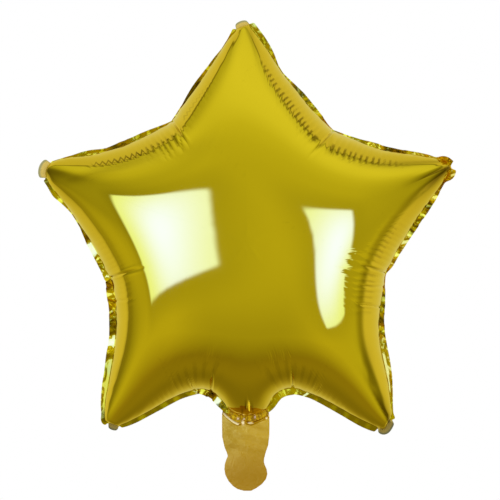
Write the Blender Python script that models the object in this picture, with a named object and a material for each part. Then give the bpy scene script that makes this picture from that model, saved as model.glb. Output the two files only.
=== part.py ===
# Star foil balloon, inflated. One sealed bag of metallised film with a heat-sealed rim and a flat filling tail.
# The star stands in the XZ plane with its front towards -Y. The origin is where the ribbon is tied: the middle
# of the tail's waist. Sizes are in metres and angles in degrees.
import math

import bmesh
import bpy
import numpy as np

# The seam line of the star, measured from the star's centre. Angles run from straight up towards each side.
TOP_REACH = 0.2205
SIDE_REACH = 0.2215
SIDE_ANGLE = 70.1
LOWER_REACH = 0.2350
LOWER_ANGLE = 142.7
UPPER_NOTCH_REACH = 0.1390
UPPER_NOTCH_ANGLE = 34.8
SIDE_NOTCH_REACH = 0.1410
SIDE_NOTCH_ANGLE = 103.8
EDGE_BOW = 0.0055  # how far the straight sides of an arm are drawn in by the pressure
UNDERSIDE_BOW = -0.0015  # the lower arms' sides next to the neck bulge out a little instead
TIP_ROUND = 0.0060  # where the rounding of a point starts, from the corner
NOTCH_ROUND = 0.0130

# The neck between the two lower arms, and the tail below it.
NECK_NOTCH_X = 0.0460
NECK_NOTCH_Z = -0.1450
NECK_HALF_WIDTH = 0.0235
NECK_SIDE_Z = -0.1670
NECK_END_SAG = 0.0090
NECK_ROUND = 0.0050
TAIL_TOP_DROP = 0.0240  # below the end of the neck the tail keeps the neck's width this far
TAIL_WAIST_DROP = 0.0120  # from there down to the waist, where the ribbon is tied
TAIL_WAIST_HALF_WIDTH = 0.0178
TAIL_LOBE_RADIUS = 0.0215
TAIL_LOBE_DROP = 0.0135  # from the waist down to the middle of the round end
TAIL_THICKNESS = 0.0012

# The inflated form. Its height over the seam plane follows the root of a pressure field over the star.
CROWN_HEIGHT = 0.0850
ARM_ROUNDNESS = 0.30  # how much fuller the narrow arms are than the root alone makes them

# The heat-sealed rim outside the seam.
RIM_WIDTH = 0.0062
RIM_NOTCH_WIDTH = 0.0022
RIM_THICKNESS = 0.0010
RIM_WAVE_LENGTH = 0.0290
RIM_WAVE_HEIGHT = 0.0024
RIM_SECOND_WAVE = 1.62  # a second, shorter wave keeps the ruffle from repeating; a share of the first's count
RIM_SCALLOP = 0.0009

# Gathers: the film crimps along the seam, deepest at the notches and fading out towards the points.
GATHER_HEIGHT = 0.0011
GATHER_LENGTH = 0.0240  # how far a gather runs in from the seam
GATHER_SPREAD = 0.0800  # how far the gathers run along the seam from a notch
PINCH_DEPTH = 0.0060
PINCH_WIDTH = 0.0048
PINCH_SPACING = 0.0150
PINCH_LENGTH = 0.0110  # where a pinch is deepest, in from the seam

# Resolution: columns run from the crown to the seam, rings run round it.
EDGE_COLUMNS = 22
TIP_COLUMNS = 4
NOTCH_COLUMNS = 6
SHOULDER_COLUMNS = 5
NECK_COLUMNS = 8
NOTCH_CROWDING = 1.6  # a gather at the point end of a side is this much wider than one at the notch end
RING_INSETS = (0.0015, 0.0060, 0.0140, 0.0260, 0.0400, 0.0580, 0.0800, 0.1080)
RING_STEPS = (1, 1, 1, 1, 2, 2, 4, 8)  # a ring keeps every first, second, fourth or eighth column
LOBE_ROWS = 7

FILM_COLOUR = (0.86, 0.64, 0.06, 1.0)
FILM_ROUGHNESS = 0.10
FILM_METALLIC = 1.0

STAR_CENTRE_Z = -NECK_SIDE_Z + NECK_END_SAG + TAIL_TOP_DROP + TAIL_WAIST_DROP


def clear_scene():
    for old in list(bpy.data.objects):
        bpy.data.objects.remove(old, do_unlink=True)


def film_material():
    material = bpy.data.materials.new("gold_film")
    material.use_nodes = True
    shader = material.node_tree.nodes["Principled BSDF"]
    shader.inputs["Base Color"].default_value = FILM_COLOUR
    shader.inputs["Roughness"].default_value = FILM_ROUGHNESS
    shader.inputs["Metallic"].default_value = FILM_METALLIC
    return material


def at_angle(reach, angle):
    turn = math.radians(angle)
    return np.array([reach * math.sin(turn), reach * math.cos(turn)])


def towards(start, end, distance):
    step = end - start
    return start + step * (distance / np.linalg.norm(step))


def bowed_side(start, end, bow, count, crowding):
    """A shallow arc from start up to, but not including, end. Crowding above 1 narrows the spacing towards end."""
    along = end - start
    inward = np.array([along[1], -along[0]]) / np.linalg.norm(along)
    if np.dot(inward, start + end) > 0:
        inward = -inward
    points = []
    for i in range(count):
        t = i / count
        t = t + (crowding - 1) / (crowding + 1) * t * (1 - t)
        points.append(start + along * t + inward * (4 * bow * t * (1 - t)))
    return points


def rounded_corner(start, corner, end, count):
    """A parabola that leaves start towards corner and reaches end, which is left out."""
    points = []
    for i in range(count):
        t = i / count
        points.append((1 - t) ** 2 * start + 2 * t * (1 - t) * corner + t**2 * end)
    return points


def right_half_seam():
    """Seam points from the top point, clockwise, to the middle of the neck's end, and the number of neck columns."""
    corners = [
        (at_angle(TOP_REACH, 0), TIP_ROUND, TIP_COLUMNS),
        (at_angle(UPPER_NOTCH_REACH, UPPER_NOTCH_ANGLE), NOTCH_ROUND, NOTCH_COLUMNS),
        (at_angle(SIDE_REACH, SIDE_ANGLE), TIP_ROUND, TIP_COLUMNS),
        (at_angle(SIDE_NOTCH_REACH, SIDE_NOTCH_ANGLE), NOTCH_ROUND, NOTCH_COLUMNS),
        (at_angle(LOWER_REACH, LOWER_ANGLE), TIP_ROUND, TIP_COLUMNS),
        (np.array([NECK_NOTCH_X, NECK_NOTCH_Z]), NOTCH_ROUND, NOTCH_COLUMNS),
        (np.array([NECK_HALF_WIDTH, NECK_SIDE_Z]), NECK_ROUND, TIP_COLUMNS),
    ]
    mirrored_second = corners[1][0] * (-1, 1)
    top, top_round, top_columns = corners[0]
    whole_top = rounded_corner(
        towards(top, mirrored_second, top_round), top, towards(top, corners[1][0], top_round), top_columns
    )
    points = whole_top[top_columns // 2 :]
    for i in range(1, len(corners)):
        before, before_round, _ = corners[i - 1]
        corner, corner_round, corner_columns = corners[i]
        if i + 1 < len(corners):
            after = corners[i + 1][0]
        else:
            after = np.array([0.0, NECK_SIDE_Z - NECK_END_SAG])
        side_start = towards(before, corner, before_round)
        side_end = towards(corner, before, corner_round)
        if i == len(corners) - 1:
            points += bowed_side(side_start, side_end, 0.0, SHOULDER_COLUMNS, 1.0)
        else:
            bow = UNDERSIDE_BOW if i == len(corners) - 2 else EDGE_BOW
            crowding = NOTCH_CROWDING if i % 2 else 1 / NOTCH_CROWDING
            points += bowed_side(side_start, side_end, bow, EDGE_COLUMNS, crowding)
        points += rounded_corner(side_end, corner, towards(corner, after, corner_round), corner_columns)
    neck_start = towards(corners[-1][0], np.array([0.0, NECK_SIDE_Z - NECK_END_SAG]), NECK_ROUND)
    half_neck = NECK_COLUMNS // 2
    for i in range(half_neck + 1):
        x = neck_start[0] * (1 - i / half_neck)
        drop = (neck_start[1] - (NECK_SIDE_Z - NECK_END_SAG)) * (x / neck_start[0]) ** 2
        points.append(np.array([x, NECK_SIDE_Z - NECK_END_SAG + drop]))
    return points, half_neck


def whole_seam():
    """The closed seam, clockwise from the top point, and the columns that span the neck's end."""
    right, half_neck = right_half_seam()
    left = [point * (-1, 1) for point in right[1:-1]][::-1]
    middle = len(right) - 1
    neck = list(range(middle - half_neck, middle + half_neck + 1))
    return np.array(right + left), neck


def outward_normals(seam):
    along = np.roll(seam, -1, axis=0) - np.roll(seam, 1, axis=0)
    normals = np.stack([-along[:, 1], along[:, 0]], axis=1)
    return normals / np.linalg.norm(normals, axis=1, keepdims=True)


def lengths_along(seam):
    steps = np.linalg.norm(np.roll(seam, -1, axis=0) - seam, axis=1)
    return np.concatenate([[0.0], np.cumsum(steps)[:-1]]), steps.sum()


def distance_round(lengths, total, place):
    gap = np.abs(lengths - place)
    return np.minimum(gap, total - gap)


class PressureField:
    """u with -laplace(u) = 1 over the star and u = 0 on the seam, from point sources just outside the seam."""

    def __init__(self, seam, spacing=0.004, offset=0.011):
        lengths, total = lengths_along(seam)
        count = int(total / spacing)
        places = np.arange(count) * total / count
        closed = np.vstack([seam, seam[:1]])
        closed_lengths = np.append(lengths, total)
        dense = np.stack([np.interp(places, closed_lengths, closed[:, k]) for k in (0, 1)], axis=1)
        self.sources = (dense + outward_normals(dense) * offset)[::2]
        matrix = self.source_terms(dense)
        self.strengths = np.linalg.lstsq(matrix, (dense**2).sum(axis=1) / 4, rcond=1e-9)[0]
        self.crown = float(self.at(np.zeros((1, 2)))[0])

    def source_terms(self, points):
        gaps = points[:, None, :] - self.sources[None, :, :]
        terms = 0.5 * np.log((gaps**2).sum(axis=2))
        return np.hstack([terms, np.ones((len(points), 1))])

    def at(self, points):
        return np.maximum(self.source_terms(points) @ self.strengths - (points**2).sum(axis=1) / 4, 0.0)

    def height(self, points):
        share = self.at(points) / self.crown
        return CROWN_HEIGHT * np.sqrt(share) * (1 + ARM_ROUNDNESS * (1 - share))


def notch_places(seam, lengths):
    """Lengths along the seam at the six notches: where the seam turns inwards."""
    corners = [
        at_angle(UPPER_NOTCH_REACH, UPPER_NOTCH_ANGLE),
        at_angle(SIDE_NOTCH_REACH, SIDE_NOTCH_ANGLE),
        np.array([NECK_NOTCH_X, NECK_NOTCH_Z]),
    ]
    places = []
    for corner in corners:
        for side in (1, -1):
            nearest = np.linalg.norm(seam - corner * (side, 1), axis=1).argmin()
            places.append(lengths[nearest])
    return places


class Folds:
    """What the gathers and pinches add to the smooth form, column by column."""

    def __init__(self, seam, neck):
        lengths, total = lengths_along(seam)
        near_notch = np.full(len(seam), total)
        self.pinch = np.zeros(len(seam))
        for place in notch_places(seam, lengths):
            near_notch = np.minimum(near_notch, distance_round(lengths, total, place))
            for crease in (-1, 0, 1):
                gap = distance_round(lengths, total, place + crease * PINCH_SPACING)
                self.pinch += np.exp(-((gap / PINCH_WIDTH) ** 2))
        fade = np.exp(-((near_notch / GATHER_SPREAD) ** 2))
        side = np.where(np.arange(len(seam)) % 2 == 0, 1.0, -1.0)
        self.gather = side * fade * GATHER_HEIGHT
        self.notch_share = np.exp(-((near_notch / PINCH_SPACING) ** 2))
        waves = max(1, round(total / RIM_WAVE_LENGTH))
        turn = lengths / total * 2 * math.pi
        self.wave = 0.7 * np.sin(waves * turn) + 0.5 * np.sin(round(waves * RIM_SECOND_WAVE) * turn + 1.0)
        self.scallop = 0.7 * np.cos(waves * turn) + 0.5 * np.cos(round(waves * RIM_SECOND_WAVE) * turn)
        at_neck = np.zeros(len(seam))
        at_neck[neck] = 1.0
        self.free = 1.0 - at_neck  # the rim lies flat where the tail leaves it

    def gather_at(self, inset):
        return self.gather * self.free * math.exp(-((inset / GATHER_LENGTH) ** 2))

    def pinch_at(self, inset):
        return self.pinch * PINCH_DEPTH * (inset / PINCH_LENGTH) * math.exp(1 - inset / PINCH_LENGTH)


def tail_rows():
    """The half width and the drop below the middle of the neck's end of each row across the tail."""
    waist = TAIL_TOP_DROP + TAIL_WAIST_DROP
    middle = waist + TAIL_LOBE_DROP
    start = math.asin(TAIL_WAIST_HALF_WIDTH / TAIL_LOBE_RADIUS)
    rows = [(NECK_HALF_WIDTH, TAIL_TOP_DROP * share) for share in (0.35, 0.7, 1.0)]
    for t in (1 / 3, 2 / 3, 1.0):
        ease = t * t * (3 - 2 * t)
        half = NECK_HALF_WIDTH + (TAIL_WAIST_HALF_WIDTH - NECK_HALF_WIDTH) * ease
        rows.append((half, TAIL_TOP_DROP + TAIL_WAIST_DROP * t))
    for i in range(1, LOBE_ROWS + 1):
        turn = start + (math.pi - start) * i / (LOBE_ROWS + 0.5)
        rows.append((TAIL_LOBE_RADIUS * math.sin(turn), middle - TAIL_LOBE_RADIUS * math.cos(turn)))
    return rows


def ring_of(bm, points, heights, side):
    """One vertex for each point; side is -1 on the front film and 1 on the back film."""
    return [bm.verts.new((x, side * y, z + STAR_CENTRE_Z)) for (x, z), y in zip(points, heights)]


def face(bm, verts, side):
    bm.faces.new(verts if side < 0 else verts[::-1])


def zip_rings(bm, outer, outer_columns, inner, inner_columns, total, side):
    """Triangles between two closed rings whose vertices stand on the given columns."""
    i = 0
    j = 0
    while i < len(outer) or j < len(inner):
        next_outer = outer_columns[i + 1] if i + 1 < len(outer) else total
        next_inner = inner_columns[j + 1] if j + 1 < len(inner) else total
        a = outer[i % len(outer)]
        b = inner[j % len(inner)]
        if j >= len(inner) or (i < len(outer) and next_outer <= next_inner):
            face(bm, [a, b, outer[(i + 1) % len(outer)]], side)
            i += 1
        else:
            face(bm, [a, b, inner[(j + 1) % len(inner)]], side)
            j += 1


def add_film(bm, seam, field, folds, side):
    """One film, from the rim in to the crown. Returns the vertices of the rim's outer edge."""
    total = len(seam)
    every = list(range(total))
    normals = outward_normals(seam)
    width = RIM_WIDTH + (RIM_NOTCH_WIDTH - RIM_WIDTH) * folds.notch_share
    width = width + RIM_SCALLOP * folds.scallop * folds.free * (1 - folds.notch_share)
    sway = side * RIM_WAVE_HEIGHT * folds.wave * folds.free * (1 - folds.notch_share)
    half = np.full(total, RIM_THICKNESS / 2)
    lean = side * folds.gather_at(0.0)
    edge = ring_of(bm, seam + normals * width[:, None], half + sway, side)
    outer = ring_of(bm, seam, half + lean, side)
    zip_rings(bm, edge, every, outer, every, total, side)
    outer_columns = every
    for inset, step in zip(RING_INSETS, RING_STEPS):
        columns = every[::step]
        points = seam[columns] * (1 - inset / SIDE_NOTCH_REACH)
        heights = field.height(points) + side * folds.gather_at(inset)[columns] - folds.pinch_at(inset)[columns]
        inner = ring_of(bm, points, np.maximum(heights, RIM_THICKNESS), side)
        zip_rings(bm, outer, outer_columns, inner, columns, total, side)
        outer, outer_columns = inner, columns
    crown = ring_of(bm, np.zeros((1, 2)), [CROWN_HEIGHT], side)[0]
    for i, vertex in enumerate(outer):
        face(bm, [vertex, crown, outer[(i + 1) % len(outer)]], side)
    return edge


def add_tail(bm, front_edge, back_edge, neck):
    """The flat tail, drawn down from the rim's edge across the neck. It ends in a round lobe."""
    front = [front_edge[i] for i in neck]
    back = [back_edge[i] for i in neck]
    floor = NECK_SIDE_Z - NECK_END_SAG + STAR_CENTRE_Z
    shares = [1 - 2 * i / (len(neck) - 1) for i in range(len(neck))]
    for half_width, drop in tail_rows():
        next_front = [bm.verts.new((s * half_width, -TAIL_THICKNESS / 2, floor - drop)) for s in shares]
        next_back = [bm.verts.new((s * half_width, TAIL_THICKNESS / 2, floor - drop)) for s in shares]
        for i in range(len(neck) - 1):
            bm.faces.new([front[i], front[i + 1], next_front[i + 1], next_front[i]][::-1])
            bm.faces.new([back[i], back[i + 1], next_back[i + 1], next_back[i]])
        bm.faces.new([front[0], next_front[0], next_back[0], back[0]][::-1])
        bm.faces.new([front[-1], next_front[-1], next_back[-1], back[-1]])
        front, back = next_front, next_back
    bm.faces.new(front[::-1] + back)


def build_balloon():
    seam, neck = whole_seam()
    field = PressureField(seam)
    folds = Folds(seam, neck)
    bm = bmesh.new()
    front_edge = add_film(bm, seam, field, folds, -1)
    back_edge = add_film(bm, seam, field, folds, 1)
    in_neck = set(neck[:-1])
    for i in range(len(seam)):
        if i not in in_neck:
            j = (i + 1) % len(seam)
            bm.faces.new([front_edge[i], front_edge[j], back_edge[j], back_edge[i]])
    add_tail(bm, front_edge, back_edge, neck)
    bmesh.ops.recalc_face_normals(bm, faces=bm.faces)
    bmesh.ops.triangulate(bm, faces=bm.faces)
    mesh = bpy.data.meshes.new("star_balloon")
    bm.to_mesh(mesh)
    bm.free()
    mesh.shade_smooth()
    mesh.set_sharp_from_angle(angle=math.radians(55))
    mesh.materials.append(film_material())
    balloon = bpy.data.objects.new("star_balloon", mesh)
    bpy.context.collection.objects.link(balloon)
    return balloon


clear_scene()
build_balloon()
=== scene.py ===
# Looks of an inflated star balloon of gold film: the filled bag, its crumpled sealed rim and its flat filling tail.
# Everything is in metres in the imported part's frame: front towards -Y, the ribbon tie at the origin.
import math

import bpy
import mathutils
import numpy as np
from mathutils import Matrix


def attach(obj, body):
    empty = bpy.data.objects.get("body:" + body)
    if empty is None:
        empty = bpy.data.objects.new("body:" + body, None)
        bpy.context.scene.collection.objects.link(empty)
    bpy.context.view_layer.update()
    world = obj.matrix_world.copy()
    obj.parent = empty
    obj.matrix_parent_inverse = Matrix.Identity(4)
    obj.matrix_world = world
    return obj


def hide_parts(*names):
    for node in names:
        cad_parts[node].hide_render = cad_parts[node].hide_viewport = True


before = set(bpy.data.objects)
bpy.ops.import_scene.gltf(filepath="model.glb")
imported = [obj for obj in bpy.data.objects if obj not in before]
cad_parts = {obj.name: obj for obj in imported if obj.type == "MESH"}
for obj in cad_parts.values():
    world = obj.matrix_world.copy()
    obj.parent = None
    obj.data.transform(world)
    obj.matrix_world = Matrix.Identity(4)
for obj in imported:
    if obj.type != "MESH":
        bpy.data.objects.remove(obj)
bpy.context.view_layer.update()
print("frame loaded")

mm = 0.001

starShape = {
    "centreZ": 212 * mm,  # the star's centre above the tie
    # corners of the straight-sided star that the seam is measured from, in millimetres from its centre
    "corners": {
        "topPoint": (-3, 216),
        "upperRightNotch": (85, 110.5),
        "rightPoint": (200, 72),
        "rightNotch": (138.5, -31),
        "lowerRightPoint": (137.5, -181),
        "neckRightNotch": (45.5, -146),
        "neckLeftNotch": (-47, -146),
        "lowerLeftPoint": (-134.5, -181),
        "leftNotch": (-137, -35.5),
        "leftPoint": (-201, 72),
        "upperLeftNotch": (-73, 118.5),
        "rightTip": (204, 76),
    },
    # for each side, clockwise: place along it, how far the seam lies inside it, width of the rim, and how crumpled
    # the rim is, from 0 to 10
    "sides": (
        ("topPoint", "upperRightNotch", (
            (1.2, -5.9, 5, 1), (20, -5.3, 4.7, 2), (30, -4.5, 4.2, 2), (40, -3, 3.2, 2), (50, -1, 1.2, 2),
            (60, 0.4, 0.8, 2), (70, 0.3, 1.8, 3), (80, -0.1, 2.7, 4), (90, 0.1, 4, 6), (100, 0.5, 4.1, 6),
            (110, 0.1, 3.8, 5), (120, -0.6, 2.7, 5), (130, -1.1, 1.2, 4), (137, -2, 1, 3),
        )),
        ("upperRightNotch", "rightPoint", (
            (0, -1.9, 1, 2), (15, -0.9, 1.5, 2), (30, -0.2, 2.5, 4), (40, 0.3, 4, 6), (50, 0.3, 4.4, 7),
            (60, -1.1, 3.9, 7), (70, -2.8, 3.2, 6), (80, -4.4, 2.9, 5), (90, -6.1, 2.7, 5), (100, -7.8, 2.1, 6),
            (107, -8.4, 1, 8), (110, -8.5, 4.4, 9), (114, -8.4, 6.4, 10), (118, -8.2, 7, 10),
            (123.6, -5.6, 6.4, 10),
        )),
        ("rightPoint", "rightNotch", (
            (-5.9, -1.1, 6.4, 10), (-1, -2.6, 7.6, 10), (3, -3.1, 7.3, 10), (7, -2.9, 5.4, 10), (10, -2.8, 1.6, 9),
            (20, -2, 3, 8), (30, -1.2, 4.1, 8), (40, -0.5, 4.8, 8), (50, 0.4, 4.9, 8), (60, 1, 5, 8),
            (75, 1.3, 4.4, 8), (90, 1.9, 4.2, 8), (100, 1.4, 3.4, 7), (110, 0.2, 3, 7), (119, 1, 1.2, 5),
        )),
        ("rightNotch", "lowerRightPoint", (
            (1, 0.8, 1.2, 4), (10, 1.5, 1.4, 5), (20, 2.6, 2.7, 7), (30, 4.3, 4.2, 8), (40, 5.1, 4.4, 7),
            (50, 5.5, 4.9, 7), (60, 5.3, 5.1, 7), (70, 4.1, 5.9, 5), (80, 2.4, 6.4, 3), (90, 0.2, 6.2, 3),
            (100, -2.2, 5.1, 3), (110, -4.3, 3.7, 2), (120, -5.2, 3, 1), (130, -6.5, 1.8, 1), (140, -7.5, 1.4, 1),
            (145, -7.7, 4, 0),
        )),
        ("lowerRightPoint", "neckRightNotch", (
            (-1.8, -6, 4.5, 0), (10, -5.6, 6.8, 0), (20, -5.2, 7, 1), (30, -4, 6.6, 1), (40, -2.7, 6.1, 1),
            (50, -1.1, 6, 1), (60, 0.4, 6, 2), (70, 1.5, 5.6, 4), (80, 2, 5, 4), (90, 1.1, 4.8, 5),
            (97, 1.4, 6.3, 2),
        )),
        ("neckLeftNotch", "lowerLeftPoint", (
            (1, 0.3, 4.4, 6), (10, 1.3, 4.6, 3), (20, 2.1, 5.1, 4), (30, 1.5, 5.3, 1), (40, 0.1, 5.2, 1),
            (50, -1.3, 4.8, 1), (60, -2.7, 4.6, 1), (70, -3.6, 4.8, 1), (80, -4.4, 4.3, 1), (90, -4.2, 2.5, 0),
        )),
        ("lowerLeftPoint", "leftNotch", (
            (3, -8, 4, 0), (10, -8.3, 2.9, 2), (20, -7.8, 4.2, 4), (30, -6.2, 5, 4), (40, -4.1, 6, 3),
            (50, -2.2, 6, 3), (60, -0.4, 6.2, 4), (70, 1.3, 6.3, 6), (80, 3, 5.8, 8), (90, 4.2, 5.9, 7),
            (100, 4.7, 6.2, 7), (110, 4.7, 6.4, 7), (120, 4.2, 6.5, 8), (130, 3.2, 7, 8), (140, 1.8, 6.5, 8),
            (146, 1, 6.8, 8),
        )),
        ("leftNotch", "leftPoint", (
            (0, -0.6, 5.1, 8), (10, 0.2, 4.4, 8), (20, 1.2, 4.6, 8), (30, 1.8, 4.9, 8), (40, 1.9, 4.6, 6),
            (50, 1.7, 3.2, 3), (60, 1.4, 1.2, 2), (76, 1, 0.8, 1), (88, -0.9, 2, 1), (100, -2.9, 4.2, 3),
            (112, -4.6, 2.6, 2), (123, -2.8, 4.5, 0),
        )),
        ("leftPoint", "upperLeftNotch", (
            (3.3, -4.9, 4, 0), (10, -7.0, 0.4, 0), (20, -6.1, 0.6, 1), (30, -4.3, 1.8, 2), (40, -1.9, 4.1, 3),
            (50, 0, 4.5, 2), (60, 1.3, 2.8, 3), (70, 1.9, 3.6, 4), (80, 2.2, 5, 4), (90, 2, 4.1, 3),
            (100, 1, 4.3, 2), (110, 0.2, 3.9, 2), (120, -0.8, 2.9, 1), (130, -2.3, 1.4, 1), (136, -3.4, 1, 1),
        )),
        ("upperLeftNotch", "topPoint", (
            (0, -3.4, 0.8, 1), (10, -3.7, 0.8, 1), (20, -3.9, 1.3, 1), (30, -4.1, 2.7, 1), (40, -4.2, 3.7, 1),
            (50, -4.3, 3.7, 2), (60, -4.4, 2.7, 1), (75, -4.8, 2.2, 1), (90, -5.2, 0.6, 1), (100, -5.8, 0.9, 1),
            (115.6, -4.6, 4, 0),
        )),
    ),
    # the seam of the neck, from its right to its left: x, z, width of the rim and how crumpled it is
    "neck": (
        (38, -146.8, 6.3, 1), (31, -149.8, 6.3, 1), (26.6, -155, 6.2, 1), (23.2, -161.5, 5.4, 2),
        (19.5, -166.6, 4, 3), (15, -170, 2.4, 4), (4.4, -173.2, 2, 4), (-6, -173, 2, 4), (-13.5, -170.8, 2.4, 4),
        (-20, -165.5, 4.6, 5), (-25.6, -158.5, 6, 9), (-31.4, -151.9, 6.2, 9), (-39.5, -147.4, 6, 8),
    ),
    # the blunt ends of the points, where the film is pinched flat
    "ends": (
        ((-9.2, 215), (2.3, 218.8)), ((-203, 69.5), (-199.5, 77.5)),
        ((-142.5, -178), (-129, -183.3)), ((137, -187.3), (145.5, -170.4)),
    ),
    "sideSmoothing": 4.0,  # millimetres
    "cornerSmoothing": 1.7,
    "scaleReach": 141 * mm,  # the middle of the star, as an inset: each ring is the seam drawn in by its share of it
}

filmForm = {
    "crownHeight": 85 * mm,
    "armRoundness": 0.30,  # how much fuller the points stand than the field makes them
    "endReach": 0.75,  # how far the filled form would reach beyond a blunt end, in widths of the end
    "endPinch": 0.5 * mm,  # length over which the film is pinched flat there
    "leastSlope": 0.3,  # keeps the front film off the back film
    # the field is that of sources outside the seam: spacing along it, and how far out
    "sourceSpacing": 4 * mm,
    "sourceOffset": 11 * mm,
    "fineSpacing": 0.6 * mm,  # between columns where the film is gathered
    "plainSpacing": 1.6 * mm,
    # insets of the rings from the seam in millimetres, and which columns each ring keeps: all, or one of so many
    "insets": (
        0.15, 0.6, 1.35, 2.4, 3.8, 5.4, 7.4, 9.6, 12.2, 15, 18.2, 21.6, 25.4, 30,
        35.5, 42, 49, 57, 66, 76, 87, 99, 111, 123, 133,
    ),
    "steps": (1,) * 14 + (2,) * 4 + (4,) * 4 + (8, 8, 16),
    "waveHeight": 0.8 * mm,  # the seam sways out of its plane
    "waveFade": 3.5 * mm,
}


def softened(values, spread, closed):
    # running average with bell-shaped weights; the values lie a millimetre apart
    reach = int(4 * spread) + 1
    weights = np.exp(-0.5 * (np.arange(-reach, reach + 1) / spread) ** 2)
    weights /= weights.sum()
    if closed:
        padded = np.concatenate([values[-reach:], values, values[:reach]])
    else:
        padded = np.pad(values, reach, mode="reflect", reflect_type="odd")
    return np.convolve(padded, weights, mode="valid")


def seamRows():
    # points of the seam a millimetre apart: x, z, rim width and crumple, in millimetres
    rows = []
    for start, end, knots in starShape["sides"]:
        first = np.array(starShape["corners"][start], float)
        along = np.array(starShape["corners"][end], float) - first
        along /= np.linalg.norm(along)
        inward = np.array([along[1], -along[0]])
        knots = np.array(knots, float)
        places = np.linspace(knots[0, 0], knots[-1, 0], int(knots[-1, 0] - knots[0, 0]) + 1)
        inset = softened(np.interp(places, knots[:, 0], knots[:, 1]), starShape["sideSmoothing"], False)
        flat = first + places[:, None] * along + inset[:, None] * inward
        rest = [np.interp(places, knots[:, 0], knots[:, column]) for column in (2, 3)]
        rows.append(np.column_stack([flat] + rest))
        if end == "neckRightNotch":
            rows.append(np.array(starShape["neck"], float))
    return np.vstack(rows)


def evenRows(rows):
    # the same closed line with its rows a millimetre apart
    lengths = lengthsAlong(rows[:, :2])
    count = int(lengths[-1])
    closed = np.vstack([rows, rows[:1]])
    places = np.arange(count) * lengths[-1] / count
    return np.stack([np.interp(places, lengths, closed[:, k]) for k in range(4)], axis=1)


def lengthsAlong(line):
    steps = np.linalg.norm(np.roll(line, -1, axis=0) - line, axis=1)
    return np.append(0.0, np.cumsum(steps))


def sampled(line, places):
    lengths = lengthsAlong(line)
    closed = np.vstack([line, line[:1]])
    places = np.mod(places, lengths[-1])
    return np.stack([np.interp(places, lengths, closed[:, k]) for k in (0, 1)], axis=1)


def outwardNormals(line):
    along = np.roll(line, -1, axis=0) - np.roll(line, 1, axis=0)
    normals = np.stack([-along[:, 1], along[:, 0]], axis=1)
    return normals / np.linalg.norm(normals, axis=1, keepdims=True)


def endFrame(end, points):
    # width of a blunt end, and how far the points lie inside it and to its side
    first, second = np.array(end) * mm
    width = np.linalg.norm(second - first)
    along = (second - first) / width
    inward = np.array([-along[1], along[0]])
    inward = inward if inward @ first < 0 else -inward
    return width, inward, (points - first) @ inward, (points - (first + second) / 2) @ along


def pointedEnds(line):
    # the seam as if the points were not blunt
    moved = line.copy()
    for end in starShape["ends"]:
        width, inward, inside, aside = endFrame(end, line)
        share = np.where(inside < 5 * mm, np.clip(1 - np.abs(aside) * 2 / width, 0, 1), 0)
        moved -= share[:, None] * inward * width * filmForm["endReach"]
    return moved


class PressureDome:
    # the filled height follows the root of a field that is zero on the seam and curves evenly inside it
    def __init__(self, line):
        line = pointedEnds(line)
        total = lengthsAlong(line)[-1]
        count = int(total / filmForm["sourceSpacing"])
        rim = sampled(line, np.arange(count) * total / count)
        self.sources = (rim + outwardNormals(rim) * filmForm["sourceOffset"])[::2]
        self.strengths = np.linalg.lstsq(self.terms(rim), (rim**2).sum(axis=1) / 4, rcond=1e-9)[0]
        self.crown = float(self.field(np.zeros((1, 2)))[0])

    def terms(self, points):
        gaps = points[:, None, :] - self.sources[None, :, :]
        return np.hstack([0.5 * np.log((gaps**2).sum(axis=2)), np.ones((len(points), 1))])

    def field(self, points):
        parts = [self.terms(chunk) @ self.strengths for chunk in np.array_split(points, max(1, len(points) // 4000))]
        return np.maximum(np.concatenate(parts) - (points**2).sum(axis=1) / 4, 0.0)

    def height(self, points):
        share = self.field(points) / self.crown
        height = filmForm["crownHeight"] * np.sqrt(share) * (1 + filmForm["armRoundness"] * (1 - share))
        for end in starShape["ends"]:
            inside = endFrame(end, points)[2]
            height *= np.sqrt(1 - np.exp(-np.maximum(inside, 0) / filmForm["endPinch"]))
        return height


seamTable = evenRows(seamRows())
seamTable = np.stack([softened(seamTable[:, k], starShape["cornerSmoothing"], True) for k in range(4)], axis=1)
seam = seamTable[:, :2] * mm
seamLengths = lengthsAlong(seam)
seamTotal = seamLengths[-1]
dome = PressureDome(seam)
print("dome solved, seam %.3f m" % seamTotal)


def nearestPlace(x, z):
    # the place on the seam nearest to a point given in millimetres from the star's centre
    return seamLengths[np.linalg.norm(seam - np.array([x, z]) * mm, axis=1).argmin()]


def cornerPlace(name):
    return nearestPlace(*starShape["corners"][name])


def roundGap(places, place):
    # how far the places lie past a place, the short way round
    return np.mod(places - place + seamTotal / 2, seamTotal) - seamTotal / 2


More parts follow.
